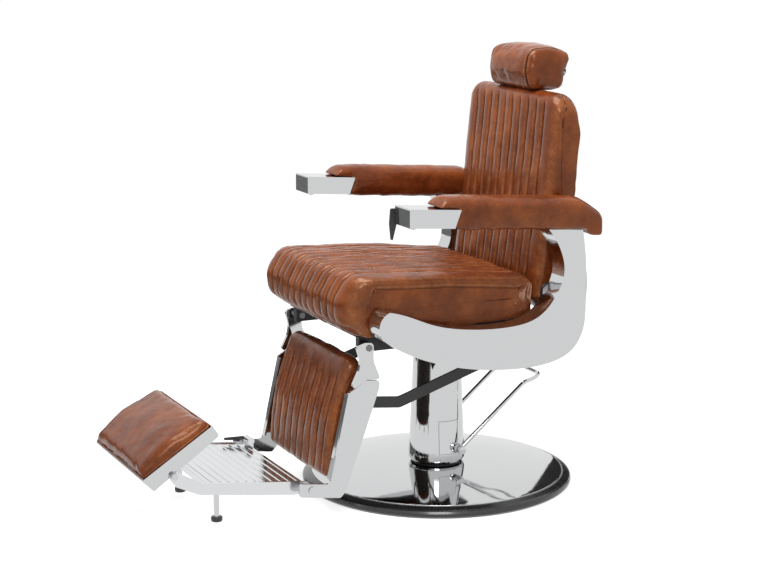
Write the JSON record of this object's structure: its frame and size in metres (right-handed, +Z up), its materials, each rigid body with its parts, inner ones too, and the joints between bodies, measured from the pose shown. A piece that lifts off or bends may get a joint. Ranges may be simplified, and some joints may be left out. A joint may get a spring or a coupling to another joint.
{
  "type": "hydraulic barber chair",
  "caption": "Reclining hydraulic barber chair: channelled leather cushions, C-shaped chrome side panels, pump column on a round base, linked leg rest and folding foot plate.",
  "frame": {"origin": "middle of the round base, on the floor", "axes": "+Z up, the chair faces -Y, +X is the sitter's left"},
  "size_m": [0.6999, 1.217, 1.1146],
  "materials": {
    "leather_cognac": "distressed, semi-gloss",
    "chrome": "polished",
    "rubber_black": "glossy",
    "black_steel": "satin",
    "cast_iron": "rough",
    "steel": "machined",
    "gland_brass": "machined",
    "foot_aluminium": "polished",
    "plywood": "raw"
  },
  "bodies": {
    "base": {"base_trim_ring": "rubber_black", "base_ballast": "cast_iron", "base_plate": "chrome", "pump_bolts": "steel", "pump_body": "cast_iron", "neck_collar": "black_steel", "oil_cylinder": "steel", "ram_gland": "gland_brass", "column_shroud": "chrome", "shroud_door": "chrome"},
    "pump_lever": {"lever_shaft": "chrome", "pump_lever": "chrome", "lever_hubs": "chrome", "lever_end_caps": "chrome"},
    "ram": {"hydraulic_ram": "chrome"},
    "chair": {"swivel_plate": "black_steel", "seat_frame": "black_steel", "seat_board": "plywood", "panel_spacers": "black_steel", "panel_bolts": "steel", "left_side_panel": "chrome", "right_side_panel": "chrome", "seat_cushion": "leather_cognac", "back_pivots": "steel", "left_arm_block": "chrome", "right_arm_block": "chrome", "left_arm_pad": "leather_cognac", "right_arm_pad": "leather_cognac", "left_arm_bar": "black_steel", "right_arm_bar": "black_steel", "leg_pivots": "steel", "gas_spring_cylinder": "black_steel"},
    "spring_rod": {"gas_spring_rod": "steel"},
    "back": {"back_cushion": "leather_cognac", "back_frame": "black_steel", "crank_pins": "steel"},
    "headrest_slider": {"headrest_bars": "chrome"},
    "headrest": {"headrest_pin": "chrome", "headrest_hinge": "black_steel", "headrest_cushion": "leather_cognac"},
    "trigger": {"recline_trigger": "black_steel"},
    "leg_rest": {"left_leg_post": "chrome", "right_leg_post": "chrome", "leg_arms": "chrome", "strap_pins": "steel", "calf_cushion": "leather_cognac", "calf_board": "plywood", "calf_cross_bars": "black_steel", "foot_plate_bolts": "chrome"},
    "link": {"left_link_strap": "black_steel", "right_link_strap": "black_steel"},
    "foot_plate": {"foot_plate": "foot_aluminium", "support_pegs": "chrome", "peg_feet": "rubber_black", "latch_barrel": "foot_aluminium", "foot_pad_bolts": "chrome"},
    "latch": {"latch_lever": "black_steel"},
    "foot_pad": {"foot_pad_tray": "chrome", "foot_pad_cushion": "leather_cognac"}
  },
  "joints": [
    {"name": "lift", "type": "slide", "parent": "base", "child": "ram", "axis": [0, 0, 1], "range_m": [0, 0.15]},
    {"name": "seat_swivel", "type": "hinge", "parent": "ram", "child": "chair", "pos_m": [0, 0, 0.38], "axis": [0, 0, 1], "continuous": true},
    {"name": "pump_stroke", "type": "hinge", "parent": "base", "child": "pump_lever", "pos_m": [0, 0.026, 0.093], "axis": [-1, 0, 0], "range_deg": [0, 22], "stiffness_Nm_per_rad": 8, "springref_deg": -17.19},
    {"name": "recline", "type": "hinge", "parent": "chair", "child": "back", "pos_m": [0, 0.172, 0.53], "axis": [-1, 0, 0], "range_deg": [0, 42]},
    {"name": "gas_spring", "type": "slide", "parent": "chair", "child": "spring_rod", "axis": [0, -1, 0], "range_m": [0, 0.08]},
    {"name": "leg_raise", "type": "hinge", "parent": "chair", "child": "leg_rest", "pos_m": [0, -0.3, 0.425], "axis": [-1, 0, 0], "range_deg": [0, 42]},
    {"name": "link_pivot", "type": "hinge", "parent": "leg_rest", "child": "link", "pos_m": [0, -0.322, 0.29], "axis": [1, 0, 0], "range_deg": [0, 42]},
    {"name": "headrest_height", "type": "slide", "parent": "back", "child": "headrest_slider", "axis": [0, 0, 1], "range_m": [0, 0.1]},
    {"name": "headrest_tilt", "type": "hinge", "parent": "headrest_slider", "child": "headrest", "pos_m": [0, 0.32, 1.05], "axis": [-1, 0, 0], "range_deg": [0, 40]},
    {"name": "trigger_pull", "type": "hinge", "parent": "chair", "child": "trigger", "pos_m": [0.00025, -0.246, 0.757], "axis": [-1, 0, 0], "range_deg": [0, 20], "stiffness_Nm_per_rad": 0.5, "springref_deg": -17.19},
    {"name": "foot_plate_fold", "type": "hinge", "parent": "leg_rest", "child": "foot_plate", "pos_m": [0, -0.45, 0.088], "axis": [-1, 0, 0], "range_deg": [0, 50]},
    {"name": "latch_lift", "type": "hinge", "parent": "foot_plate", "child": "latch", "pos_m": [-0.178, -0.462, 0.117], "axis": [-1, 0, 0], "range_deg": [0, 25], "stiffness_Nm_per_rad": 0.3, "springref_deg": -17.19},
    {"name": "foot_pad_flip", "type": "hinge", "parent": "foot_plate", "child": "foot_pad", "pos_m": [0, -0.787, 0.159], "axis": [1, 0, 0], "range_deg": [0, 110]}
  ],
  "couplings": [
    {"joint": "leg_raise", "follows": "recline", "ratio": 1},
    {"joint": "link_pivot", "follows": "recline", "ratio": 1},
    {"joint": "gas_spring", "follows": "recline", "m_per_rad": 0.1075}
  ]
}
